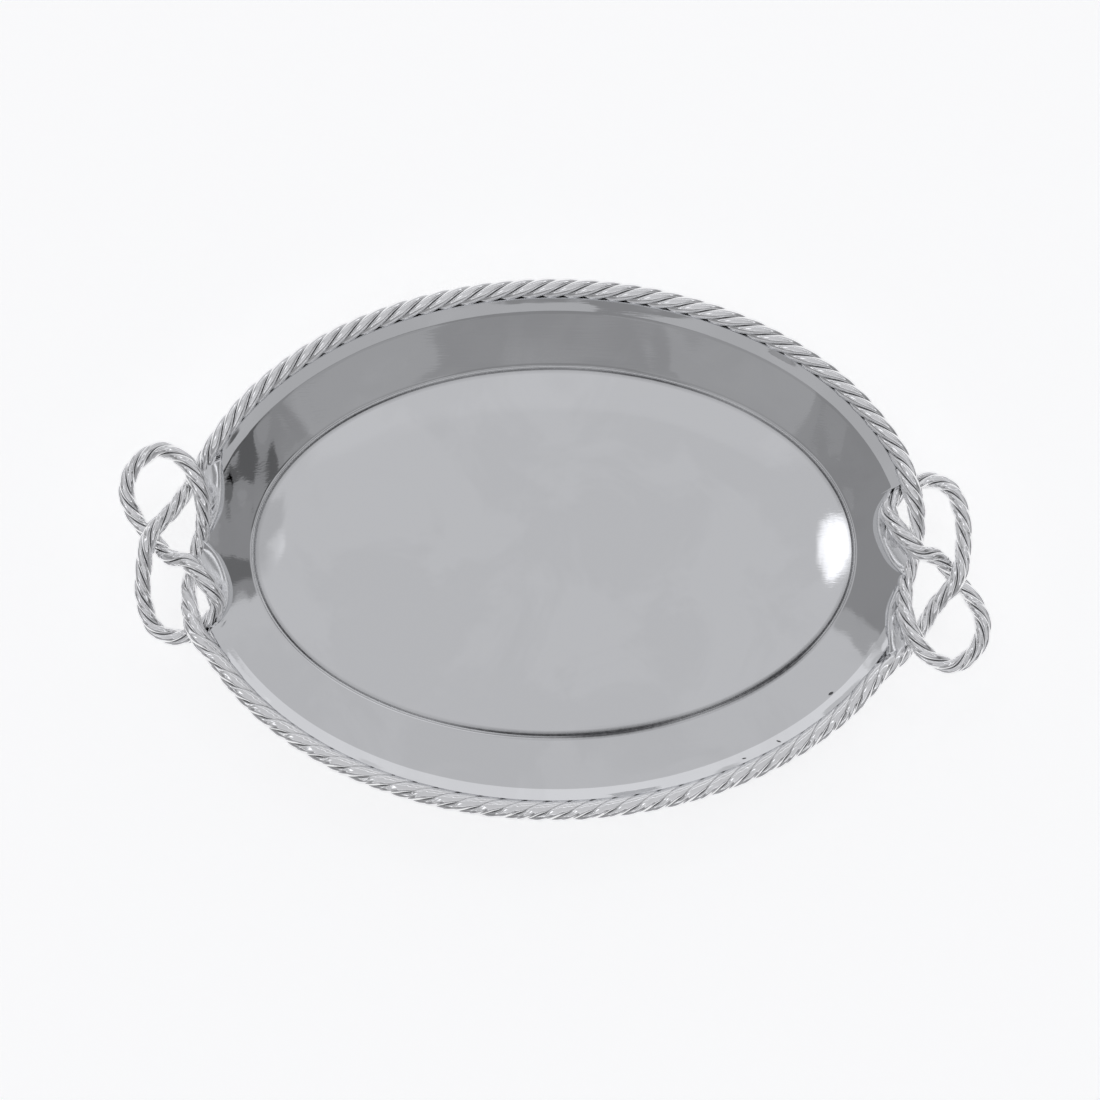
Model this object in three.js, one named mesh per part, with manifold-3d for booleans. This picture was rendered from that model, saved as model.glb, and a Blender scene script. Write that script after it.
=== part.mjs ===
// An oval serving tray in polished cast aluminium, in millimetres, +Z up.
// The dish is one shell: a flat well, a crease, a sloping flange and a channel round its edge.
// A four-strand rope lies in that channel and is tied at each end of the tray in a figure-eight
// knot, whose two loops are the handle. Leaf-shaped pads join the knots to the flange.
// The origin is on the table under the middle of the tray, and X runs from handle to handle.
// The right knot and its pads are the left ones given half a turn about KNOT_CENTRE.
import * as THREE from "three";
import { mergeVertices } from "three/addons/utils/BufferGeometryUtils.js";
import Module from "manifold-3d";

const wasm = await Module();
wasm.setup();

// Oval of the rope's centre line along the rim, and its height.
const RIM_A = 236.6;
const RIM_B = 167.9;
const RIM_Z = 34.5;

// The dish is made of ovals: their half lengths along X, and heights.
const FLOOR_A = 156; // flat floor, where the well starts to curve up
const FLOOR_TOP = 4;
const COVE = [[178, FLOOR_TOP], [192.6, 9.2]]; // the well's curve: control point and top end
const CREASE_A = 194.8; // crease between well and flange, with a small step up
const CREASE_B = 120.4; // half width of the crease
const CREASE_Z = 11.1;
const FLANGE_TOP = [[197, 13.1], [212, 21], [226, 29.8]];
const BASE = [[160, 0], [184, 0]]; // edge of the flat underside, and its curve's control point
const FLANGE_UNDER = [[197, 8.8], [214, 17.6], [226.4, 24.8]];
const COVE_STEPS = 4;
const DISH_SEGMENTS = 64;
const GAP = 0.3; // between pieces that touch

// Channel under the rim's rope: thickness, and directions from the rope's centre line in degrees.
const CHANNEL_WALL = 2.6;
const CHANNEL_INNER = 208;
const CHANNEL_UNDER = 244;
const CHANNEL_OUTER = 302;

// The rope: its strands wind round the centre line, and the strands don't quite touch.
const ROPE_R = 5.8;
const STRAND_R = 2.17;
const LAY_R = ROPE_R - STRAND_R; // from the rope's centre line to a strand's
const STRANDS = ["a", "b", "c", "d"];
const STRAND_SIDES = 5;
const STEPS_PER_TURN = 7;
const RIM_PITCH = 56;
const KNOT_PITCH = 54;
const LAY_HAND = -1; // left-hand lay
const GROOVE_SIDES = 8;
const GROOVE_STEPS = 96;
const GROOVE_RUN_ON = 0.03; // how far a groove runs beyond its knot, as a share of the rope
const LINE_DIVISIONS = 40; // of the rope's centre line, between two of its points

// Knots: mean height, and how far the rope rises or drops where it crosses itself.
const KNOT_CENTRE = new THREE.Vector2(0, -6.6);
const KNOT_Z = 31;
const CROSSING_RISE = 6.2;
const OVER = 1;
const UNDER = -1;

// Left knot from the rear rim's rope: x and y from KNOT_CENTRE, and level.
const KNOT = [
  [-229.9, 54.1, UNDER],
  [-242.9, 32.3, 0],
  [-257.2, 13.4, OVER],
  [-261.6, -6.9, 0.4],
  [-261.3, -28.2, 0],
  [-254.7, -44.6, -0.5],
  [-243, -50.5, -0.9],
  [-228.9, -47.8, UNDER],
  [-219, -38.9, -0.6],
  [-214.4, -31, 0],
  [-219.2, -19, 0.7],
  [-232.5, -3.9, OVER],
  [-245.9, 0.4, 0.1],
  [-257.2, 12.7, UNDER],
  [-268.5, 26.8, -0.7],
  [-273.9, 42.8, -0.2],
  [-269, 58.6, 0],
  [-253.8, 69, 0.4],
  [-238.6, 63.8, 0.9],
  [-229.7, 52.8, OVER],
  [-224.4, 38.1, 0.5],
  [-224.9, 19.4, -0.6],
];
// From under the knot to where the rope comes down to the rim.
const LEAD_OUT = [
  [-230.6, -1.8, UNDER],
  [-233.3, -19.2, -0.4],
  [-231.2, -34.7, 0.6],
  [-227, -48, OVER],
];

// Stretches of the rim's oval that the rope follows, in degrees anticlockwise from +X.
const FRONT_RIM = [205, 331];
const REAR_RIM = [20, 157];
const RIM_POINTS = 18;

// Inner edges of the left pads, x and y from KNOT_CENTRE, and their heights.
const REAR_PAD = [[-224.3, 67.4], [-215.8, 57.4], [-212.9, 44.4], [-214.3, 31.4], [-220.8, 16.4]];
const FRONT_PAD = [[-225.3, 12.4], [-215.8, 2.4], [-209.9, -9.6], [-207.3, -20.6], [-208.7, -31.6], [-216.3, -44.6]];
const PAD_BOTTOM = 20.5;
const PAD_TOP = 31.5;
const EDGE_STEPS = 10;
// Outer edge of the dish at the left end, where no pad stands.
const END_EDGE = [[-222.8, -45.6], [-232, -60], [-300, -90], [-300, 90], [-237, 81]];

const metal = (name, color, roughness) =>
  new THREE.MeshStandardMaterial({ name, color, roughness, metalness: 1 });
const DISH_METAL = metal("polished_aluminium", 0xc9cacc, 0.1);
const ROPE_METAL = metal("rope_aluminium", 0xbfc0c2, 0.2);
const PAD_METAL = metal("pad_aluminium", 0xc4c5c7, 0.14);

function solid(geometry) {
  const bare = geometry.clone();
  bare.deleteAttribute("normal");
  bare.deleteAttribute("uv");
  const merged = mergeVertices(bare, 1e-4);
  return new wasm.Manifold(
    new wasm.Mesh({
      numProp: 3,
      vertProperties: merged.getAttribute("position").array,
      triVerts: new Uint32Array(merged.index.array),
    }),
  );
}

function geometryOf(body) {
  const mesh = body.getMesh();
  const geometry = new THREE.BufferGeometry();
  geometry.setAttribute("position", new THREE.BufferAttribute(mesh.vertProperties, 3));
  geometry.setIndex(new THREE.BufferAttribute(mesh.triVerts, 1));
  const faceted = geometry.toNonIndexed();
  faceted.computeVertexNormals();
  return faceted;
}

// Half the oval's width where its half length is a: the flange is wider along the tray's sides.
function halfWidth(a) {
  if (a <= CREASE_A) return (a * CREASE_B) / CREASE_A;
  return CREASE_B + ((a - CREASE_A) * (RIM_B - CREASE_B)) / (RIM_A - CREASE_A);
}

const arc = (radius, from, to, steps) =>
  Array.from({ length: steps + 1 }, (_, i) => {
    const angle = THREE.MathUtils.degToRad(from + ((to - from) * i) / steps);
    return [RIM_A + radius * Math.cos(angle), RIM_Z + radius * Math.sin(angle)];
  });
const bend = (points, steps) =>
  new THREE.QuadraticBezierCurve(...points.map(([x, z]) => new THREE.Vector2(x, z)))
    .getPoints(steps)
    .map((point) => point.toArray());

// The dish's section along X, from the underside's middle out to the lip and back over the top.
function dishProfile() {
  const inside = ROPE_R + GAP;
  const [coveControl, coveTop] = COVE;
  const outline = [
    [0, 0],
    ...bend([...BASE, FLANGE_UNDER[0]], COVE_STEPS - 1),
    ...FLANGE_UNDER.slice(1),
    ...arc(inside + CHANNEL_WALL, CHANNEL_UNDER, CHANNEL_OUTER, 3),
    ...arc(inside, CHANNEL_OUTER, CHANNEL_INNER, 4),
    ...FLANGE_TOP.toReversed(),
    [CREASE_A, CREASE_Z],
    ...bend([coveTop, coveControl, [FLOOR_A, FLOOR_TOP]], COVE_STEPS),
    [0, FLOOR_TOP],
  ];
  return outline.map(([x, z]) => new THREE.Vector2(x, z));
}

function wholeDish() {
  const geometry = new THREE.LatheGeometry(dishProfile(), DISH_SEGMENTS);
  geometry.rotateX(Math.PI / 2);
  const position = geometry.getAttribute("position");
  for (let i = 0; i < position.count; i++) {
    const a = Math.hypot(position.getX(i), position.getY(i));
    if (a > 0) position.setY(i, (position.getY(i) * halfWidth(a)) / a);
  }
  return solid(geometry);
}

const fromKnot = ([x, y]) => new THREE.Vector2(KNOT_CENTRE.x + x, KNOT_CENTRE.y + y);
const turnedFromKnot = ([x, y]) => fromKnot([-x, -y]);
const inKnot = ([x, y, level]) =>
  new THREE.Vector3(KNOT_CENTRE.x + x, KNOT_CENTRE.y + y, KNOT_Z + CROSSING_RISE * level);
const turned = ({ x, y, z }) =>
  new THREE.Vector3(2 * KNOT_CENTRE.x - x, 2 * KNOT_CENTRE.y - y, z);

function rimPoints([from, to]) {
  return Array.from({ length: RIM_POINTS }, (_, i) => {
    const angle = THREE.MathUtils.degToRad(from + ((to - from) * i) / (RIM_POINTS - 1));
    return new THREE.Vector3(RIM_A * Math.cos(angle), RIM_B * Math.sin(angle), RIM_Z);
  });
}

// The rope's whole centre line, from the left knot round by the front.
function ropeLine() {
  const left = [...KNOT, ...LEAD_OUT].map(inKnot);
  const right = left.map(turned);
  const points = [...left, ...rimPoints(FRONT_RIM), ...right, ...rimPoints(REAR_RIM)];
  const line = new THREE.CatmullRomCurve3(points, true, "centripetal");
  line.arcLengthDivisions = LINE_DIVISIONS * points.length;
  return line;
}

const ROPE = ropeLine();
const LENGTHS = ROPE.getLengths();
const ROPE_LENGTH = LENGTHS.at(-1);
const HALF = ROPE.points.length / 2;
// Share of the rope's length before its control point of that index.
const shareAt = (index) => LENGTHS[LINE_DIVISIONS * index] / ROPE_LENGTH;
const LEFT_KNOT = [0, shareAt(KNOT.length)];
const FRONT_ROPE = [shareAt(KNOT.length), shareAt(HALF)];
const RIGHT_KNOT = [shareAt(HALF), shareAt(HALF + KNOT.length)];
const REAR_ROPE = [shareAt(HALF + KNOT.length), 1];

// A stretch of the rope's centre line, between two shares of its length.
class Stretch extends THREE.Curve {
  constructor(from, to) {
    super();
    this.from = from;
    this.to = to;
  }
  shareOf(t) {
    return (1 + this.from + (this.to - this.from) * t) % 1;
  }
  getPoint(t, target) {
    return ROPE.getPointAt(this.shareOf(t), target);
  }
  getPointAt(t, target) {
    return this.getPoint(t, target);
  }
  getTangentAt(t, target) {
    return this.getTangent(t, target);
  }
}

// A strand's centre line. Equal steps of t are equal steps along the rope, so the strands stay in step.
class Strand extends Stretch {
  constructor([from, to], pitch, phase) {
    const gap = GAP / 2 / ROPE_LENGTH;
    super(from + gap, to - gap);
    this.turns = Math.round(((to - from) * ROPE_LENGTH) / pitch);
    this.phase = phase;
  }
  getPoint(t, target = new THREE.Vector3()) {
    const along = ROPE.getTangentAt(this.shareOf(t));
    const side = new THREE.Vector3(0, 0, 1).cross(along).normalize();
    const up = along.clone().cross(side);
    const angle = this.phase + LAY_HAND * 2 * Math.PI * this.turns * t;
    return super
      .getPoint(t, target)
      .addScaledVector(side, LAY_R * Math.cos(angle))
      .addScaledVector(up, LAY_R * Math.sin(angle));
  }
}

function polygon(radius, sides) {
  const points = Array.from({ length: sides }, (_, i) => {
    const angle = (2 * Math.PI * i) / sides;
    return new THREE.Vector2(radius * Math.cos(angle), radius * Math.sin(angle));
  });
  return new THREE.Shape(points);
}

function strandGeometry(span, pitch, index) {
  const path = new Strand(span, pitch, (2 * Math.PI * index) / STRANDS.length);
  return new THREE.ExtrudeGeometry(polygon(STRAND_R, STRAND_SIDES), {
    steps: path.turns * STEPS_PER_TURN,
    extrudePath: path,
  });
}

// The space that the rope takes in and beside a knot, with its gap.
function grooveSolid(from, to) {
  const radius = (ROPE_R + GAP) / Math.cos(Math.PI / GROOVE_SIDES);
  return solid(
    new THREE.ExtrudeGeometry(polygon(radius, GROOVE_SIDES), {
      steps: GROOVE_STEPS,
      extrudePath: new Stretch(from - GROOVE_RUN_ON, to + GROOVE_RUN_ON),
    }),
  );
}

function prism(outline, bottom, top) {
  const geometry = new THREE.ExtrudeGeometry(new THREE.Shape(outline), {
    depth: top - bottom,
    bevelEnabled: false,
  });
  geometry.translate(0, 0, bottom);
  return solid(geometry);
}

// A pad fills the leaf between its inner edge, which keeps its gap to the dish, and the rope's groove.
function padSolid(edge, groove, place) {
  const moved = edge.map(([x, y]) => place([x - GAP, y]));
  const inner = new THREE.SplineCurve(moved).getPoints(EDGE_STEPS);
  const bodies = prism(inner.reverse(), PAD_BOTTOM, PAD_TOP).subtract(groove).decompose();
  return bodies.sort((a, b) => b.volume() - a.volume())[0];
}

// What is cut from one end of the dish: the pads' leaves and all that lies outside them.
function endCut(groove, place) {
  const edges = [REAR_PAD, FRONT_PAD].flatMap((edge) =>
    new THREE.SplineCurve(edge.map(place)).getPoints(EDGE_STEPS),
  );
  const outline = [...END_EDGE.map(place).reverse(), ...edges.reverse()];
  return prism(outline, -GAP, RIM_Z + ROPE_R).add(groove);
}

const tray = new THREE.Group();
function add(name, geometry, material) {
  const mesh = new THREE.Mesh(geometry, material);
  mesh.name = name;
  tray.add(mesh);
}

// The rear pad's leaf comes first, and lies at the front once it is turned to the right end.
const HANDLES = [
  { pads: ["left_rear_pad", "left_front_pad"], first: 0, place: fromKnot },
  { pads: ["right_front_pad", "right_rear_pad"], first: HALF, place: turnedFromKnot },
];
let dish = wholeDish();
for (const { pads, first, place } of HANDLES) {
  const groove = grooveSolid(shareAt(first), shareAt(first + KNOT.length + LEAD_OUT.length));
  dish = dish.subtract(endCut(groove, place));
  [REAR_PAD, FRONT_PAD].forEach((edge, i) => {
    add(pads[i], geometryOf(padSolid(edge, groove, place)), PAD_METAL);
  });
}
add("dish", geometryOf(dish), DISH_METAL);

const ROPES = [
  ["left_knot", LEFT_KNOT, KNOT_PITCH],
  ["front_rim", FRONT_ROPE, RIM_PITCH],
  ["right_knot", RIGHT_KNOT, KNOT_PITCH],
  ["rear_rim", REAR_ROPE, RIM_PITCH],
];
for (const [name, span, pitch] of ROPES) {
  STRANDS.forEach((letter, index) => {
    add(`${name}_strand_${letter}`, strandGeometry(span, pitch, index), ROPE_METAL);
  });
}

export default tray;
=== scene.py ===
"""An oval serving tray in polished cast aluminium, with a rope rim and a knotted rope handle at each end.

The dish, the pads and the rope's strands are rebuilt here at full resolution on the CAD model's own
ovals and knot, each in the place of its CAD node. Lengths are millimetres until a mesh is made.
"""
import math

import bpy
import numpy as np
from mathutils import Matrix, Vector, noise


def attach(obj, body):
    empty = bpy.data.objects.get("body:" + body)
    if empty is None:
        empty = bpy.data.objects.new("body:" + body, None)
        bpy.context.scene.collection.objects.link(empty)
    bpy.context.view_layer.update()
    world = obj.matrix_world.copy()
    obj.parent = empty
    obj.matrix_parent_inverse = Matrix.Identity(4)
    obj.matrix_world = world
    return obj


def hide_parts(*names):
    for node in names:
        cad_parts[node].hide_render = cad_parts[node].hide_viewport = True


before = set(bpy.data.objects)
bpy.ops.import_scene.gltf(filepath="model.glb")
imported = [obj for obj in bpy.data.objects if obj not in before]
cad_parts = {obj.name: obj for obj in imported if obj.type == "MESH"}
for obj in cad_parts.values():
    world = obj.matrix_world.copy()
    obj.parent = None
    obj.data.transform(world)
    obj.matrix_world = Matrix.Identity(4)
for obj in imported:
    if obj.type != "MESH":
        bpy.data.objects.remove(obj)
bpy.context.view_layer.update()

MM = 0.001
FULL_TURN = 2 * math.pi
LEFT, RIGHT = 1, -1  # which end of the tray: the right one is the left one given half a turn

# The dish's ovals and the rope, as in part.mjs, but for a cove that starts 6 mm further in.
RIM_A, RIM_B, RIM_Z = 236.6, 167.9, 34.5
CREASE_A, CREASE_B = 194.8, 120.4
FLOOR_A, FLOOR_TOP = 150.0, 4.0
ROPE_R = 5.8
RIM_ROPE_R = 6.5  # the rim's rope is a little fuller here than in the CAD model

# The knots, as in part.mjs: x and y from their centre, and level.
KNOT_CENTRE = np.array([0.0, -6.6])
KNOT_Z, CROSSING_RISE = 31.0, 6.2
KNOT = [
    (-229.9, 54.1, -1), (-242.9, 32.3, 0), (-257.2, 13.4, 1), (-261.6, -6.9, 0.4),
    (-261.3, -28.2, 0), (-254.7, -44.6, -0.5), (-243, -50.5, -0.9), (-228.9, -47.8, -1),
    (-219, -38.9, -0.6), (-214.4, -31, 0), (-219.2, -19, 0.7), (-232.5, -3.9, 1),
    (-245.9, 0.4, 0.1), (-257.2, 12.7, -1), (-268.5, 26.8, -0.7), (-273.9, 42.8, -0.2),
    (-269, 58.6, 0), (-253.8, 69, 0.4), (-238.6, 63.8, 0.9), (-229.7, 52.8, 1),
    (-224.4, 38.1, 0.5), (-224.9, 19.4, -0.6),
]
LEAD_OUT = [(-230.6, -1.8, -1), (-233.3, -19.2, -0.4), (-231.2, -34.7, 0.6), (-227, -48, 1)]
FRONT_RIM, REAR_RIM, RIM_POINTS = (205, 331), (20, 157), 18

# Inner edges of the left pads, as in part.mjs but for the rear pad's first two points: they lie about
# 12 mm and 3 mm away, clear of the fuller rim rope. Each pad ends under the rope, at its root.
REAR_PAD = [(-212.3, 70.5), (-213.4, 58.6), (-212.9, 44.4), (-214.3, 31.4), (-220.8, 16.4)]
REAR_PAD_ROOT = [(-217.5, 70.5), (-226.5, 57.4), (-223.8, 39.4), (-223.8, 25.4), (-224.3, 16.4)]
FRONT_PAD = [
    (-225.3, 12.4), (-215.8, 2.4), (-209.9, -9.6), (-207.3, -20.6), (-208.7, -31.6), (-216.3, -44.6),
]
FRONT_PAD_ROOT = [
    (-230.3, 11.4), (-228.8, -1.6), (-220.3, -17.1), (-215.3, -26.6), (-214.8, -33.6), (-220.3, -44.6),
]


# ---------------------------------------------------------------- curves

def catmull(points, closed, per=40):
    """Centripetal Catmull-Rom curve through points, with per steps between two of them."""
    p = np.asarray(points, float)
    n = len(p)
    spans = n if closed else n - 1
    out = []
    for i in range(spans):
        if closed:
            p0, p1, p2, p3 = (p[(i + j - 1) % n] for j in range(4))
        else:
            p1, p2 = p[i], p[i + 1]
            p0 = p[i - 1] if i else 2 * p1 - p2
            p3 = p[i + 2] if i + 2 < n else 2 * p2 - p1
        d0, d1, d2 = (math.sqrt(np.linalg.norm(b - a)) for a, b in ((p0, p1), (p1, p2), (p2, p3)))
        m1 = ((p1 - p0) / d0 - (p2 - p0) / (d0 + d1) + (p2 - p1) / d1) * d1
        m2 = ((p2 - p1) / d1 - (p3 - p1) / (d1 + d2) + (p3 - p2) / d2) * d1
        t = (np.arange(per) / per)[:, None]
        a, b = 2 * p1 - 2 * p2 + m1 + m2, -3 * p1 + 3 * p2 - 2 * m1 - m2
        out.append(a * t ** 3 + b * t ** 2 + m1 * t + p1)
    out.append(p[:1] if closed else p[-1:])
    return np.vstack(out)


def bezier(p0, p1, p2, steps):
    t = np.linspace(0, 1, steps + 1)[:, None]
    p0, p1, p2 = (np.array(p, float) for p in (p0, p1, p2))
    return (1 - t) ** 2 * p0 + 2 * t * (1 - t) * p1 + t ** 2 * p2


def smoothstep(x, low, high):
    t = np.clip((x - low) / (high - low), 0, 1)
    return t * t * (3 - 2 * t)


def from_knot(points, side):
    """Points given for the left knot, in the tray's frame at the LEFT or RIGHT end."""
    p = np.asarray(points, float)
    out = p.copy()
    out[:, :2] = KNOT_CENTRE + side * p[:, :2]
    return out


def noise_along(lengths, size, y, z):
    """Soft noise from -1 to 1 at each length, with bumps of about the given size."""
    return np.array([noise.noise(Vector((s / size, y, z))) for s in lengths])


def noise_over(points, size, seed):
    """Soft noise from -1 to 1 at each plan point, with bumps of about the given size."""
    return np.array([noise.noise(Vector((x / size, y / size, seed))) for x, y in points])


# ---------------------------------------------------------------- meshes

def add_piece(node, name, verts, faces, material, shade_and_grime, sharp):
    """A smooth-shaded mesh piece that rides on the tray and stands for one CAD node."""
    mesh = bpy.data.meshes.new(name)
    mesh.from_pydata((np.asarray(verts) * MM).tolist(), [], faces)
    mesh.validate()
    layer = mesh.attributes.new("shade_and_grime", "FLOAT", "POINT")
    layer.data.foreach_set("value", np.asarray(shade_and_grime, np.float32))
    mesh.shade_smooth()
    mesh.set_sharp_from_angle(angle=math.radians(sharp))
    mesh.materials.append(material)
    obj = bpy.data.objects.new(name, mesh)
    bpy.context.scene.collection.objects.link(obj)
    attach(obj, "root")
    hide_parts(node)
    return obj


def grid_faces(rows, columns):
    """Quads between rows of equally many points, each row closed on itself."""
    faces = []
    for r in range(rows - 1):
        for c in range(columns):
            d = (c + 1) % columns
            a = r * columns
            faces.append((a + c, a + d, a + columns + d, a + columns + c))
    return faces


def capped_tube_faces(rows, columns):
    """The same, with a flat face over the first row and one over the last."""
    faces = grid_faces(rows, columns)
    faces.append(tuple(range(columns)))
    faces.append(tuple((rows - 1) * columns + c for c in reversed(range(columns))))
    return faces


# ---------------------------------------------------------------- materials

class Nodes:
    """The node tree of a material or world, emptied, and short ways to fill it."""

    def __init__(self, owner):
        owner.use_nodes = True
        self.tree = owner.node_tree
        self.tree.nodes.clear()

    def add(self, kind, **values):
        node = self.tree.nodes.new(kind)
        for key, value in values.items():
            if key in node.inputs:
                node.inputs[key].default_value = value
            else:
                setattr(node, key, value)
        return node

    def feed(self, socket, source):
        """Feeds a socket from another node's output, or with a plain value."""
        if isinstance(source, bpy.types.NodeSocket):
            self.tree.links.new(source, socket)
        else:
            socket.default_value = source

    def maths(self, operation, *sources, clamp=False):
        node = self.add("ShaderNodeMath", operation=operation, use_clamp=clamp)
        for socket, source in zip(node.inputs, sources):
            self.feed(socket, source)
        return node.outputs[0]

    def vectors(self, operation, first, second=None):
        """Vector maths. The second value is a vector, or a factor where the operation is SCALE."""
        node = self.add("ShaderNodeVectorMath", operation=operation)
        self.feed(node.inputs[0], first)
        if second is not None:
            self.feed(node.inputs["Scale" if operation == "SCALE" else 1], second)
        return node.outputs["Value" if operation in ("DOT_PRODUCT", "LENGTH") else "Vector"]

    def ramp(self, source, start, stop, low=0.0, high=1.0, shape="SMOOTHSTEP"):
        """low where the source is at start, high where it is at stop, and level past both."""
        node = self.add("ShaderNodeMapRange", interpolation_type=shape)
        for name, value in (("From Min", start), ("From Max", stop), ("To Min", low), ("To Max", high)):
            node.inputs[name].default_value = value
        self.feed(node.inputs["Value"], source)
        return node.outputs[0]

    def mapping(self, coords, **values):
        node = self.add("ShaderNodeMapping", **values)
        self.feed(node.inputs["Vector"], coords)
        return node.outputs[0]

    def noise(self, coords, output="Fac", **values):
        node = self.add("ShaderNodeTexNoise", **values)
        self.feed(node.inputs["Vector"], coords)
        return node.outputs[output]

    def mix(self, data_type, share, first, second):
        node = self.add("ShaderNodeMix", data_type=data_type)
        for name, source in (("Factor", share), ("A", first), ("B", second)):
            self.feed(node.inputs[name], source)
        return node.outputs["Result"]


PIT_EDGE, PIT_MIDDLE = 0.035, 0.015  # distance from a Voronoi cell's point, as a share of a cell
PITTED_CELLS_ABOVE = 0.9  # one cell in ten has a pit
PIT_STRETCH, PIT_TURN = (0.55, 1.0, 1.0), 0.5
FLAW_EDGE, FLAW_MIDDLE = 1.15, 0.75  # shares of the flaw's own half length and half width
PIT_DEPTH = 2.0  # against the scratches' heights below
# Polishing scratches in two directions, then the soft pull of the buffing wheel: turn in radians,
# scale, stretch and height.
SCRATCHES = [
    (0.35, 900.0, (0.04, 1, 1), 0.25),
    (-0.9, 700.0, (0.04, 1, 1), 0.2),
    (0.0, 34.0, (1, 1, 1), 1.0),
]
RELIEF_DISTANCE = 0.0002  # metres


def casting_pits(nodes, coords, scale):
    """1 in a few small stretched pits, 0 elsewhere."""
    cells = nodes.add("ShaderNodeTexVoronoi", Scale=scale, Randomness=1.0)
    stretched = nodes.mapping(coords, Scale=PIT_STRETCH, Rotation=(0, 0, PIT_TURN))
    nodes.feed(cells.inputs["Vector"], stretched)
    pit = nodes.ramp(cells.outputs["Distance"], PIT_EDGE, PIT_MIDDLE)
    colour = nodes.add("ShaderNodeSeparateColor")
    nodes.feed(colour.inputs[0], cells.outputs["Color"])
    rare = nodes.maths("GREATER_THAN", colour.outputs[0], PITTED_CELLS_ABOVE)
    return nodes.maths("MULTIPLY", pit, rare)


def casting_flaw(nodes, coords, place, size, turn):
    """1 in one oval flaw, 0 elsewhere."""
    inside = nodes.mapping(coords, vector_type="TEXTURE", Location=place, Scale=size, Rotation=(0, 0, turn))
    return nodes.ramp(nodes.vectors("LENGTH", inside), FLAW_EDGE, FLAW_MIDDLE)


def scratches(nodes, coords):
    """Height of the polishing marks."""
    height = 0.5  # any level: only the slope counts
    for turn, scale, stretch, weight in SCRATCHES:
        turned = nodes.mapping(coords, Rotation=(0, 0, turn), Scale=stretch)
        grain = nodes.noise(turned, Scale=scale, Detail=2.0, Roughness=0.5)
        height = nodes.maths("MULTIPLY_ADD", grain, weight, height)
    return height


def aluminium(name, colour, dark, rough, rough_recess, bump, pits, flaws=()):
    """Hand-polished cast aluminium: faint scratches and smears, dull metal with painted shade and some grime
    in its recesses.
    """
    material = bpy.data.materials.new(name)
    nodes = Nodes(material)
    coords = nodes.add("ShaderNodeTexCoord").outputs["Object"]
    smear = nodes.noise(coords, Scale=14.0, Detail=4.0, Roughness=0.55, Distortion=0.6)
    shade_amount = nodes.noise(coords, Scale=420.0, Detail=3.0, Roughness=0.6)
    # Painted shade: the per-point share read here darkens the colour, standing for shade in creases,
    # grooves, under the rope and on the underside, together with some real grime. The pits and flaws are
    # real marks.
    shade_and_grime = nodes.add("ShaderNodeAttribute", attribute_name="shade_and_grime").outputs["Fac"]

    broken = nodes.maths("MULTIPLY_ADD", shade_amount, 0.5, 0.72)
    depth = nodes.maths("MULTIPLY", shade_and_grime, broken, clamp=True)
    pitted = casting_pits(nodes, coords, pits)
    for flaw in flaws:
        pitted = nodes.maths("MAXIMUM", pitted, casting_flaw(nodes, coords, *flaw))
    darkened = nodes.maths("MAXIMUM", depth, pitted)

    tone = nodes.mix("RGBA", darkened, (*colour, 1), (*dark, 1))
    haze = nodes.ramp(smear, 0.44, 0.58, 0.985, 1.025)
    gloss = nodes.ramp(smear, 0.35, 0.7, rough * 0.8, rough * 1.35, "LINEAR")
    sunk = nodes.maths("MULTIPLY_ADD", pitted, -PIT_DEPTH, scratches(nodes, coords))
    relief = nodes.add("ShaderNodeBump", Strength=bump, Distance=RELIEF_DISTANCE)
    nodes.feed(relief.inputs["Height"], sunk)

    shader = nodes.add("ShaderNodeBsdfPrincipled", Metallic=1.0)
    nodes.feed(shader.inputs["Base Color"], nodes.vectors("SCALE", tone, haze))
    nodes.feed(shader.inputs["Roughness"], nodes.mix("FLOAT", darkened, gloss, rough_recess))
    nodes.feed(shader.inputs["Normal"], relief.outputs[0])
    out = nodes.add("ShaderNodeOutputMaterial")
    nodes.feed(out.inputs[0], shader.outputs[0])
    return material


METAL = (0.86, 0.865, 0.875)
# The rope is the dish's aluminium painted lighter: a painted brightening for the bright studio its strands
# reflect.
ROPE_LIT_TONE = (0.96, 0.96, 0.965)
# Dark tones for the painted shade in hollows, and for the real pits and flaws.
ROPE_SHADE_AND_PIT_TONE = (0.08, 0.08, 0.084)
SHADE_AND_PIT_TONE = (0.14, 0.14, 0.145)
DULL = 0.4  # roughness of the recesses
rope_metal = aluminium("rope_metal", ROPE_LIT_TONE, ROPE_SHADE_AND_PIT_TONE, 0.1, DULL, bump=0.35, pits=40.0)
pad_metal = aluminium("pad_metal", METAL, SHADE_AND_PIT_TONE, 0.11, DULL, bump=0.25, pits=9.0)


# ---------------------------------------------------------------- dish

def half_width(a):
    """Half the width of the oval whose half length is a. The cove is equally wide all round."""
    flange = CREASE_B + (a - CREASE_A) * (RIM_B - CREASE_B) / (RIM_A - CREASE_A)
    cove = CREASE_B + a - CREASE_A
    floor = a * (CREASE_B + FLOOR_A - CREASE_A) / FLOOR_A
    return np.where(a > CREASE_A, flange, np.where(a > FLOOR_A, cove, floor))


def on_oval(a, angle):
    return np.stack([a * np.cos(angle), half_width(a) * np.sin(angle)], -1)


def oval_through(points):
    """Half length and angle of the oval that passes through each plan point, by halving an interval."""
    x, y = np.asarray(points, float).T
    low, high = np.full(len(x), 1.0), np.full(len(x), 400.0)
    for _ in range(50):
        a = (low + high) / 2
        inside = (x / a) ** 2 + (y / half_width(a)) ** 2 > 1
        low, high = np.where(inside, a, low), np.where(inside, high, a)
    return a, np.arctan2(y / half_width(a), x / a) % FULL_TURN


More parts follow.
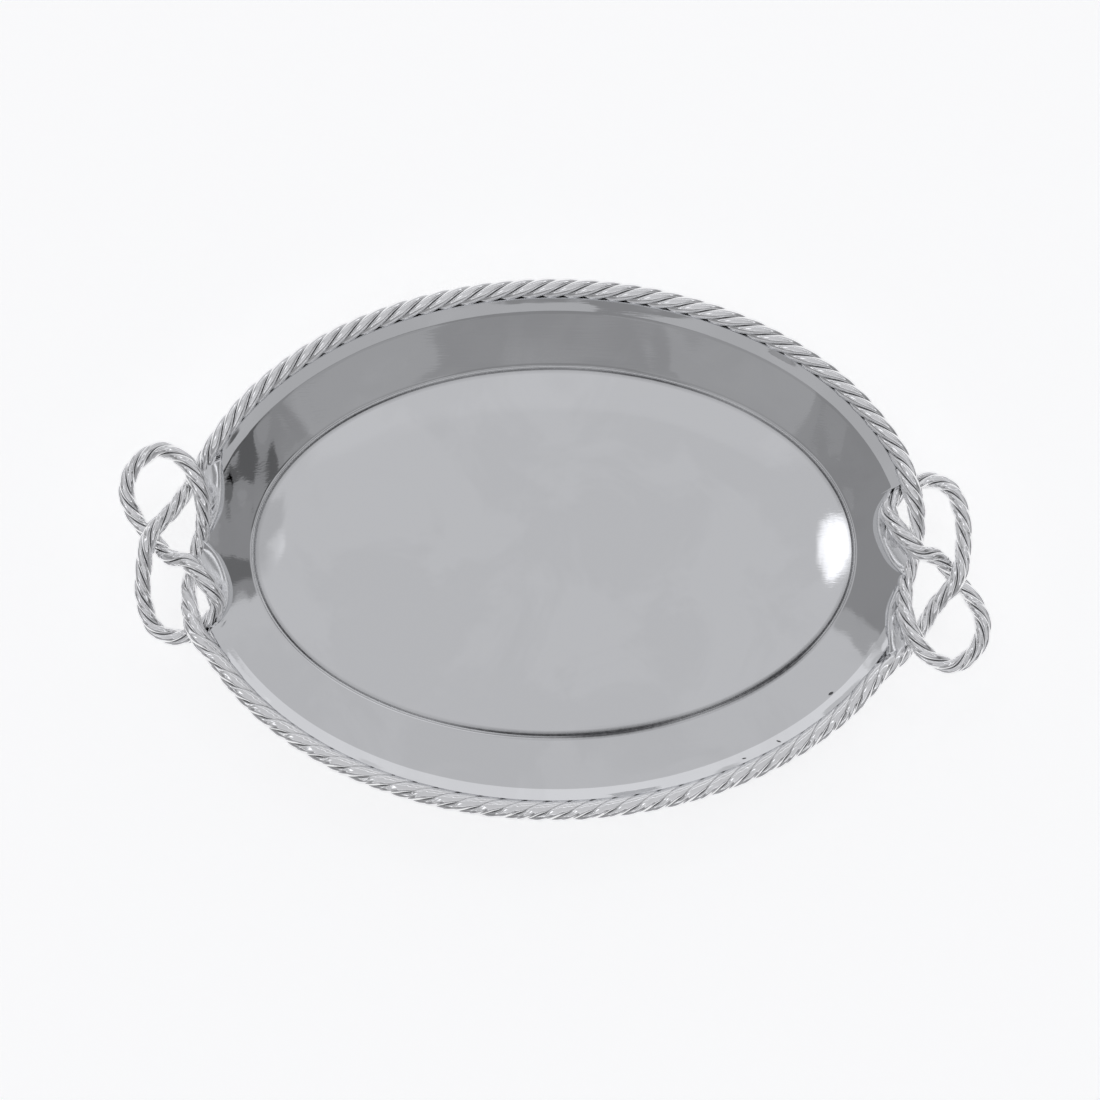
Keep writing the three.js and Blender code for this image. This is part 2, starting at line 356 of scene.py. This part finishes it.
AROUND = 640  # points round each oval of the dish
DRAWN_IN_FROM = 199.0  # outside this half length the flange is drawn in at the knots
LIP_A = RIM_A - 5.4  # where the flange meets the rope
FREE = 999.0  # no limit: wider than any oval of the dish


def channel(radius, start, stop, steps):
    """Arc about the rim rope's centre line, from start to stop degrees."""
    turn = np.radians(np.linspace(start, stop, steps + 1))
    return np.column_stack([RIM_A + radius * np.cos(turn), RIM_Z + radius * np.sin(turn)])


# The dish's section along its half length, as half length and height. The cove is followed by a
# crease: a dark line, a small bead and a fainter line.
COVE_END = (193.0, 10.7)
BEAD_FOOT, BEAD_TOP = (194.1, 11.3), (195.1, 12.0)
FLANGE_FOOT, FLANGE_END = (195.8, 12.4), (224.2, 28.6)
TOP_PROFILE = np.vstack([
    [[a, FLOOR_TOP] for a in (30, 60, 85, 105, 120, 132, 141)],
    bezier((FLOOR_A, FLOOR_TOP), (171, FLOOR_TOP), COVE_END, 18),
    bezier(COVE_END, (193.7, 9.9), BEAD_FOOT, 4)[1:],
    bezier(BEAD_FOOT, (194.6, 11.8), BEAD_TOP, 3)[1:],
    bezier(BEAD_TOP, (195.4, 11.7), FLANGE_FOOT, 3)[1:],
    bezier(FLANGE_FOOT, (209.8, 20.1), FLANGE_END, 20)[1:],
    bezier(FLANGE_END, (227.2, 31.4), (LIP_A, 35.1), 12)[1:],
])
LIP_PROFILE = channel(RIM_ROPE_R - 0.45, 165, 292, 16)
UNDER_PROFILE = np.vstack([
    channel(RIM_ROPE_R + 2.6, 292, 238, 8),
    bezier((226.0, 24.6), (211, 15.2), (197, 8.8), 8)[1:],
    bezier((197, 8.8), (184, 0.0), (160, 0.0), 10)[1:],
    [[a, 0.0] for a in (120, 60)],
])
# Painted shade in the crease's two lines: where, how wide and how dark. It is smeared wider at the front
# right.
CREASE_LINES = ((193.6, 0.6, 1.0), (195.35, 0.3, 0.6))
CREASE_SMEAR, SMEAR_AT, SMEAR_REACH = 2.6, math.radians(298), math.radians(26)
# Painted shade where the flange runs in under the rope, and on the dish's underside.
LIP_SHADE, LIP_SHADE_STEP, UNDER_SHADE = 0.2, 0.05, 0.25
# Unevenness left by hand, as height, size and seed: over the whole dish, then at its ends only.
WAVES = ((0.75, 62, 3.1), (0.22, 24, 8.4))
END_WAVES, END_WAVES_FROM, END_WAVES_FULL = (0.35, 13, 5.2), 150, 195
# How much of it there is at each half length.
WAVES_AT, WAVES_SHARE = [0, 150, 190, 200, 228, 231], [0.1, 0.1, 0.3, 1, 1.3, 0.0]

# Casting flaws on the front of the flange: x and y, half length and half width, and turn in degrees.
FLAWS = [(176.6, -93.3, 1.9, 1.0, 30), (142.7, -123.8, 1.7, 0.5, -20), (120.7, -134.6, 1.4, 0.45, 10)]
FLAW_HALF_DEPTH = 2


def top_height(a):
    return np.interp(a, TOP_PROFILE[:, 0], TOP_PROFILE[:, 1])


def flaw_places():
    for x, y, long, wide, turn in FLAWS:
        a, _ = oval_through([(x, y)])
        z = float(top_height(a)[0])
        size = (long * MM, wide * MM, FLAW_HALF_DEPTH * MM)
        yield (x * MM, y * MM, z * MM), size, math.radians(turn)


dish_metal = aluminium("dish_metal", METAL, SHADE_AND_PIT_TONE, 0.05, DULL, bump=0.2, pits=14.0, flaws=list(flaw_places()))


def end_edges(angle):
    """Half length of the oval where the dish ends at each angle: the pads' inner edges, or FREE."""
    limit = np.full(len(angle), FREE)
    for side in (LEFT, RIGHT):
        turn = 0 if side == LEFT else math.pi  # keeps the right pads clear of the angle's jump at 0
        curve = np.vstack([catmull(from_knot(edge, side), False, 12) for edge in (REAR_PAD, FRONT_PAD)])
        a, at = oval_through(curve)
        at = (at + turn) % FULL_TURN
        order = np.argsort(at)
        cut = np.interp((angle + turn) % FULL_TURN, at[order], a[order], left=FREE, right=FREE)
        limit = np.minimum(limit, cut)
    return limit


def ring(a, z, angle, limit):
    """One oval of the dish. Outside DRAWN_IN_FROM it is drawn in to the limit, where the knots stand."""
    if a <= DRAWN_IN_FROM:
        a, z = np.full(AROUND, float(a)), np.full(AROUND, float(z))
    else:
        share = (a - DRAWN_IN_FROM) / (LIP_A - DRAWN_IN_FROM)
        cut = DRAWN_IN_FROM + min(share, 1) * (limit - DRAWN_IN_FROM) + 0.15 * max(share - 1, 0)
        level = top_height(np.full(AROUND, min(a, LIP_A)))
        z = z + np.where(a > cut, top_height(np.minimum(cut, LIP_A)) - level, 0)
        a = np.minimum(a, cut)
    return np.column_stack([on_oval(a, angle), z]), a


def with_waves(points, a):
    """The points of one oval, raised and lowered as hand polishing leaves them."""
    plan = points[:, :2]
    (broad, broad_size, broad_seed), (fine, fine_size, fine_seed) = WAVES
    end, end_size, end_seed = END_WAVES
    at_ends = smoothstep(np.abs(plan[:, 0]), END_WAVES_FROM, END_WAVES_FULL)
    bend = broad * noise_over(plan, broad_size, broad_seed) + fine * noise_over(plan, fine_size, fine_seed)
    bend = bend + end * at_ends * noise_over(plan * [1, 0.6], end_size, end_seed)
    return np.column_stack([plan, points[:, 2] + bend * np.interp(a, WAVES_AT, WAVES_SHARE)])


def dish():
    angle = np.arange(AROUND) * FULL_TURN / AROUND
    limit = end_edges(angle)
    hand = np.array([noise.noise(Vector((3 * math.cos(t), 3 * math.sin(t), 1.7))) for t in angle])
    smeared = np.exp(-((angle - SMEAR_AT) / SMEAR_REACH) ** 2)
    spread = 1 + CREASE_SMEAR * smeared * np.clip(0.7 + hand, 0.2, 1.3)
    rows, shade_rows = [], []
    for a, z in TOP_PROFILE:
        rows.append(with_waves(*ring(a, z, angle, limit)))
        # Painted shade along the crease, uneven round the dish.
        shade_amount = sum(depth * np.exp(-((a - at) / (wide * spread)) ** 2) for at, wide, depth in CREASE_LINES)
        shade_rows.append(np.clip(shade_amount * (0.85 + 0.6 * hand), 0, 1))
    # The lip rows darken step by step under the rope and the underside rows darken evenly: painted shade.
    for step, (a, z) in enumerate(LIP_PROFILE):
        rows.append(ring(a, z, angle, limit)[0])
        shade_rows.append(np.full(AROUND, min(LIP_SHADE, LIP_SHADE_STEP * step)))
    for a, z in UNDER_PROFILE:
        rows.append(ring(a, z, angle, limit)[0])
        shade_rows.append(np.full(AROUND, UNDER_SHADE))
    verts = np.vstack(rows + [[[0, 0, FLOOR_TOP]], [[0, 0, 0]]])
    shade_and_grime = np.concatenate(shade_rows + [[0.0, UNDER_SHADE]])
    top, under = len(verts) - 2, len(verts) - 1
    last = (len(rows) - 1) * AROUND
    faces = grid_faces(len(rows), AROUND)
    faces += [(top, c, (c + 1) % AROUND) for c in range(AROUND)]
    faces += [(under, last + (c + 1) % AROUND, last + c) for c in range(AROUND)]
    add_piece("dish", "tray_dish", verts, faces, dish_metal, shade_and_grime, sharp=50)


# ---------------------------------------------------------------- rope

def rim_points(span):
    angle = np.radians(np.linspace(span[0], span[1], RIM_POINTS))
    return np.column_stack([RIM_A * np.cos(angle), RIM_B * np.sin(angle), np.full(RIM_POINTS, RIM_Z)])


class Rope:
    """The rope's centre line, once round the tray."""

    def __init__(self, per=40):
        left = np.array([(x, y, KNOT_Z + CROSSING_RISE * level) for x, y, level in KNOT + LEAD_OUT])
        stretches = [from_knot(left, LEFT), rim_points(FRONT_RIM)]
        stretches += [from_knot(left, RIGHT), rim_points(REAR_RIM)]
        self.line = catmull(np.vstack(stretches), True, per)
        steps = np.linalg.norm(np.diff(self.line, axis=0), axis=1)
        self.lengths = np.concatenate([[0], np.cumsum(steps)])
        half = len(left) + RIM_POINTS
        marks = [0, len(KNOT), half, half + len(KNOT), 2 * half]
        self.marks = [self.lengths[m * per] for m in marks]

    def at(self, s):
        return np.column_stack([np.interp(s, self.lengths, self.line[:, k]) for k in range(3)])

    def frames(self, s):
        """The centre line at each length, and the directions to its side and up."""
        along = self.at(s + TANGENT_REACH) - self.at(s - TANGENT_REACH)
        if s[0] < TANGENT_REACH:
            along[0] = along[1]
        along /= np.linalg.norm(along, axis=1)[:, None]
        side = np.cross([0, 0, 1], along)
        side /= np.linalg.norm(side, axis=1)[:, None]
        return self.at(s), side, np.cross(along, side)


TANGENT_REACH = 0.4  # half the length over which the line's direction is taken
STRANDS = "abcd"
LAY_HAND = -1  # left-hand lay
STEP = 1.0  # between two sections of a strand
END_GAP = 0.05  # left free at each end of a stretch
RIM_PITCH, KNOT_PITCH = 56.0, 54.0
# The stretches in the order of the line: pitch of the lay, depth of the grooves between yarns, and
# how much of the relief is polished away on the side of the food.
STRETCHES = {
    "left_knot": (KNOT_PITCH, 0.2, 0.0),
    "front_rim": (RIM_PITCH, 0.24, 0.75),
    "right_knot": (KNOT_PITCH, 0.2, 0.0),
    "rear_rim": (RIM_PITCH, 0.03, 0.1),
}
RUBBED_TOWARDS = math.radians(45)  # half way between the dish's side of the rope and its top
RIM_TAPER = 60.0  # length over which the rim's fuller rope grows from the knots' thickness

# Section of one strand, as directions about the rope's centre line; its two flat sides meet the others.
LOBE_EDGE = math.pi / len(STRANDS)  # half of what one strand fills of the rope's section
LOBE = (LOBE_EDGE - 0.006) * np.sin(np.radians(np.linspace(-90, 90, 27)))
CORE_R = 0.6  # where a strand's flat sides meet
CROWN, GROOVE = 0.2, 0.22  # how far a strand falls away from its crown, as shares of the rope's radius
YARNS = 3  # grooves across a strand
YARN_LEAN = 2.0  # 2 moves the grooves over by one in each turn of the lay
UNEVEN_SIZE, UNEVEN_SHARE = 17.0, 0.03
WORN_SIZE = 9.0


def strand(rope, part, index, start, end):
    pitch, yarn_depth, rubbed = STRETCHES[part]
    name = f"{part}_strand_{STRANDS[index]}"
    length = end - start
    turns = round(length / pitch)
    count = int(length / STEP)
    s = np.linspace(start + END_GAP, end - END_GAP, count)
    here, side, up = rope.frames(s)
    twist = FULL_TURN * (index / len(STRANDS) + LAY_HAND * turns * (s - start) / length)

    off = np.abs(LOBE) / LOBE_EDGE
    theta = LOBE[None, :] + twist[:, None]
    kept = 1 - rubbed * smoothstep(np.cos(theta - RUBBED_TOWARDS), 0.3, 0.85)
    reach = 1 - (CROWN * off ** 2 + GROOVE * off ** 5)[None, :] * kept
    on_rim = smoothstep(np.minimum(s - start, end - s), 0.0, RIM_TAPER) if pitch == RIM_PITCH else 0 * s
    full = ROPE_R + (RIM_ROPE_R - ROPE_R) * on_rim
    uneven = noise_along(s, UNEVEN_SIZE, index * 5.3, 0.7)
    worn = noise_along(s, WORN_SIZE, index * 3.1, 4.2)
    yarn = yarn_depth * np.clip(0.8 + 1.6 * worn, 0, 1.6)
    phase = (LOBE[None, :] / LOBE.max()) * YARNS + (s[:, None] / pitch) * YARN_LEAN + index * 0.37
    groove = np.abs(np.cos(math.pi * phase / 2)) ** 3
    fade = np.cos(LOBE / LOBE.max() * math.pi / 2) ** 0.5
    radius = full[:, None] * reach - yarn[:, None] * groove * fade[None, :] * kept
    radius *= 1 + UNEVEN_SHARE * uneven[:, None]

    radius = np.hstack([radius, np.full((count, 1), CORE_R)])
    theta = np.hstack([theta, twist[:, None]])
    sideways = radius * np.cos(theta)
    rise = radius * np.sin(theta)
    verts = here[:, None, :] + sideways[..., None] * side[:, None, :] + rise[..., None] * up[:, None, :]
    # Painted shade in the grooves between strands and between yarns, with the dull grime there; less where
    # the relief is rubbed away.
    darkened = 0.85 * smoothstep(off, 0.84, 1.0)[None, :] + 0.5 * groove * fade[None, :] * yarn[:, None]
    shade_and_grime = np.hstack([np.clip(darkened * kept, 0, 1), np.ones((count, 1))])
    faces = capped_tube_faces(count, radius.shape[1])
    add_piece(name, name + "_visual", verts.reshape(-1, 3), faces, rope_metal,
              shade_and_grime.ravel(), sharp=60)


def ropes():
    rope = Rope()
    for part, start, end in zip(STRETCHES, rope.marks, rope.marks[1:]):
        for index in range(len(STRANDS)):
            strand(rope, part, index, start, end)


# ---------------------------------------------------------------- pads

PAD_STATIONS = 40
PAD_CREST = 33.5
PAD_GROUND = 30.0  # the pads' ends stay below the rope, though the lip rises higher there
PAD_CLEARANCE = 2.5  # how far inside a pad's edge the flange's height is taken


def spaced(points, share):
    """Plan points at even shares of the length of the curve through the given ones."""
    curve = catmull(points, False, 12)
    lengths = np.concatenate([[0], np.cumsum(np.linalg.norm(np.diff(curve, axis=0), axis=1))])
    return np.column_stack([np.interp(share * lengths[-1], lengths, curve[:, k]) for k in (0, 1)])


def pad_section(top, low, width):
    """Distance out from the inner edge, and height: a wall, a crest, a slope and a hidden underside."""
    wall = top - low
    return [
        (-1.7, low - 1.2), (-1.3, low + 0.12 * wall), (-0.9, low + 0.5 * wall),
        (-0.55, top - 1.1), (-0.2, top - 0.35), (0.35, top), (0.9, top - 0.12),
        (1.5, top - 0.45), (0.16 * width + 1.6, top - 1.1), (0.45 * width + 0.8, top - 1.9),
        (0.75 * width, top - 2.2), (width, top - 1.8), (width, low - 2.0), (width * 0.4, low - 2.8),
    ]


def pad(name, edge, root, side):
    """A leaf-shaped lug: a steep wall up from the flange, a rounded crest and a slope under the rope."""
    share = np.linspace(0, 1, PAD_STATIONS)
    ridge = spaced(from_knot(edge, side), share)
    foot = spaced(from_knot(root, side), share)
    swell = np.sin(math.pi * share) ** 0.6
    out = foot - ridge
    width = np.linalg.norm(out, axis=1)
    out /= width[:, None]
    a, _ = oval_through(ridge - PAD_CLEARANCE * out)
    ground = np.minimum(top_height(np.minimum(a, LIP_A)), PAD_GROUND)
    crest = ground + (PAD_CREST - ground) * (0.25 + 0.75 * swell)
    verts = np.array([
        [[*(ridge[k] + out[k] * x), z] for x, z in pad_section(crest[k], ground[k], width[k])]
        for k in range(PAD_STATIONS)
    ])
    columns = verts.shape[1]
    obj = add_piece(name, name + "_visual", verts.reshape(-1, 3), capped_tube_faces(PAD_STATIONS, columns),
                    pad_metal, np.zeros(PAD_STATIONS * columns), sharp=60)
    smooth = obj.modifiers.new("round", "SUBSURF")
    smooth.levels = smooth.render_levels = 1


def pads():
    for side, rear, front in ((LEFT, "left_rear_pad", "left_front_pad"),
                              (RIGHT, "right_front_pad", "right_rear_pad")):
        pad(rear, REAR_PAD, REAR_PAD_ROOT, side)
        pad(front, FRONT_PAD, FRONT_PAD_ROOT, side)


dish()
ropes()
pads()


# ---------------------------------------------------------------- studio

# Tones of the studio that the metal reflects, by direction. The brightest of the base tone, the bands
# and the areas counts; the patches and the ring are then added to it.
BASE_TONE = 0.26
# Bands round the vertical: height of the direction (1 is straight up) where each begins and where it
# is full, and its tone.
BANDS = [
    (0.79, 0.83, 0.55),  # overhead
    (0.67, 0.685, 0.29),  # round it
    (0.44, 0.41, 0.45),  # low on every side
    (0.09, 0.04, 0.8),  # the horizon and below
]
# The rest: a direction, degrees from it where each begins and where it is full, and its tone.
BEHIND = (0.12, 0.97, 0.2)
AREAS = [
    (BEHIND, 56, 52, 0.53),
    (BEHIND, 66, 58, 0.37),
    ((0, 0.5, -0.87), 83, 76, 0.72),  # below, reaching up behind
    ((0.7, -0.7, 0.0), 9, 6, 1.0),  # a softbox on the horizon, at the front right
]
PATCHES = [
    ((0, -0.42, 0.9), 20, 14, 0.03),
    ((-0.365, 0.09, 0.93), 8, 0.5, 0.8),  # the bright spot at the right of the well
    ((0.32, -0.62, 0.6), 12, 10, 0.08),
    ((0.45, 0.02, 0.9), 12, 8, -0.09),
    ((0.3, 0.08, 0.95), 5, 1, 0.14),
    ((0.69, -0.42, 0.52), 8, 6.5, -0.15),  # this and the next two: dark cards
    ((0.86, -0.25, 0.5), 10, 9, -0.12),
    ((0.8, 0.3, 0.55), 8, 7, -0.12),
    ((-0.35, -0.7, 0.62), 13, 12, 0.06),
]
# A thin bright ring about the direction in which a level face sends the camera's view, so that faces
# tilted by 20 to 22 degrees reflect it. Its edges are straight, not bent by the ripple.
MIRROR = (0, 0.105, 0.995)
RING = [(MIRROR, 44.0, 43.4, 0.8), (MIRROR, 40.3, 39.7, -0.8)]
RIPPLE = 0.28  # how far the other edges are bent
STUDIO_TINT = (0.985, 0.99, 1.02)
BACKDROP = (0.965, 0.965, 0.965, 1)  # what the camera itself sees past the floor


def within(nodes, way, direction, start, stop, tone):
    """The tone inside an angle of stop degrees from a direction, and nothing past start degrees."""
    dot = nodes.vectors("DOT_PRODUCT", way, Vector(direction).normalized())
    return nodes.ramp(dot, math.cos(math.radians(start)), math.cos(math.radians(stop)), high=tone)


def studio_world():
    """A plain studio seen by direction: bright overhead, behind and low down, darker in between."""
    world = bpy.data.worlds.new("studio")
    bpy.context.scene.world = world
    nodes = Nodes(world)
    straight = nodes.add("ShaderNodeTexCoord").outputs["Generated"]
    ripple = nodes.noise(straight, "Color", Scale=4.0, Detail=4.0, Roughness=0.6)
    ripple = nodes.vectors("SCALE", nodes.vectors("SUBTRACT", ripple, (0.5, 0.5, 0.5)), RIPPLE)
    bent = nodes.vectors("NORMALIZE", nodes.vectors("ADD", straight, ripple))
    split = nodes.add("ShaderNodeSeparateXYZ")
    nodes.feed(split.inputs[0], bent)

    total = BASE_TONE
    for start, stop, tone in BANDS:
        band = nodes.ramp(split.outputs["Z"], start, stop, high=tone)
        total = nodes.maths("MAXIMUM", band, total)
    for area in AREAS:
        total = nodes.maths("MAXIMUM", within(nodes, bent, *area), total)
    for patch in PATCHES:
        total = nodes.maths("ADD", within(nodes, bent, *patch), total)
    for edge in RING:
        total = nodes.maths("ADD", within(nodes, straight, *edge), total)

    reflected = nodes.add("ShaderNodeBackground")
    nodes.feed(reflected.inputs["Color"], nodes.vectors("SCALE", STUDIO_TINT, total))
    backdrop = nodes.add("ShaderNodeBackground", Color=BACKDROP, Strength=1.0)
    mix = nodes.add("ShaderNodeMixShader")
    nodes.feed(mix.inputs[0], nodes.add("ShaderNodeLightPath").outputs["Is Camera Ray"])
    nodes.feed(mix.inputs[1], reflected.outputs[0])
    nodes.feed(mix.inputs[2], backdrop.outputs[0])
    nodes.feed(nodes.add("ShaderNodeOutputWorld").inputs[0], mix.outputs[0])


PAPER_HALF = 6.0  # metres
PAPER_DROP = 0.0002  # below the tray's underside, in metres
PAPER_TONE, PAPER_GLOW = (0.8, 0.8, 0.8, 1), 0.55


def floor():
    h = PAPER_HALF
    mesh = bpy.data.meshes.new("floor")
    mesh.from_pydata([(-h, -h, 0), (h, -h, 0), (h, h, 0), (-h, h, 0)], [], [(0, 1, 2, 3)])
    obj = bpy.data.objects.new("floor", mesh)
    obj.location.z = -PAPER_DROP
    bpy.context.scene.collection.objects.link(obj)
    material = bpy.data.materials.new("floor_paper")
    nodes = Nodes(material)
    shader = nodes.add("ShaderNodeBsdfPrincipled", Roughness=0.9)
    shader.inputs["Base Color"].default_value = PAPER_TONE
    shader.inputs["Emission Color"].default_value = (1, 1, 1, 1)
    shader.inputs["Emission Strength"].default_value = PAPER_GLOW
    out = nodes.add("ShaderNodeOutputMaterial")
    nodes.feed(out.inputs[0], shader.outputs[0])
    mesh.materials.append(material)


CAMERA_DISTANCE = 1.6
CAMERA_ELEVATION = 84.0
FRAME_WIDTH = 0.7022  # what the frame spans at the tray
CAMERA_AIM = Vector((-0.0023, -0.002, 0.034))


def camera():
    data = bpy.data.cameras.new("camera")
    data.sensor_width = 36
    data.lens = data.sensor_width * CAMERA_DISTANCE / FRAME_WIDTH
    obj = bpy.data.objects.new("camera", data)
    bpy.context.scene.collection.objects.link(obj)
    tilt = math.radians(CAMERA_ELEVATION)
    back = Vector((0, -math.cos(tilt), math.sin(tilt)))
    obj.location = CAMERA_AIM + back * CAMERA_DISTANCE
    obj.rotation_mode = "QUATERNION"
    obj.rotation_quaternion = (-back).to_track_quat("-Z", "Y")
    bpy.context.scene.camera = obj


studio_world()
floor()
camera()
bpy.context.scene.view_settings.view_transform = "Standard"
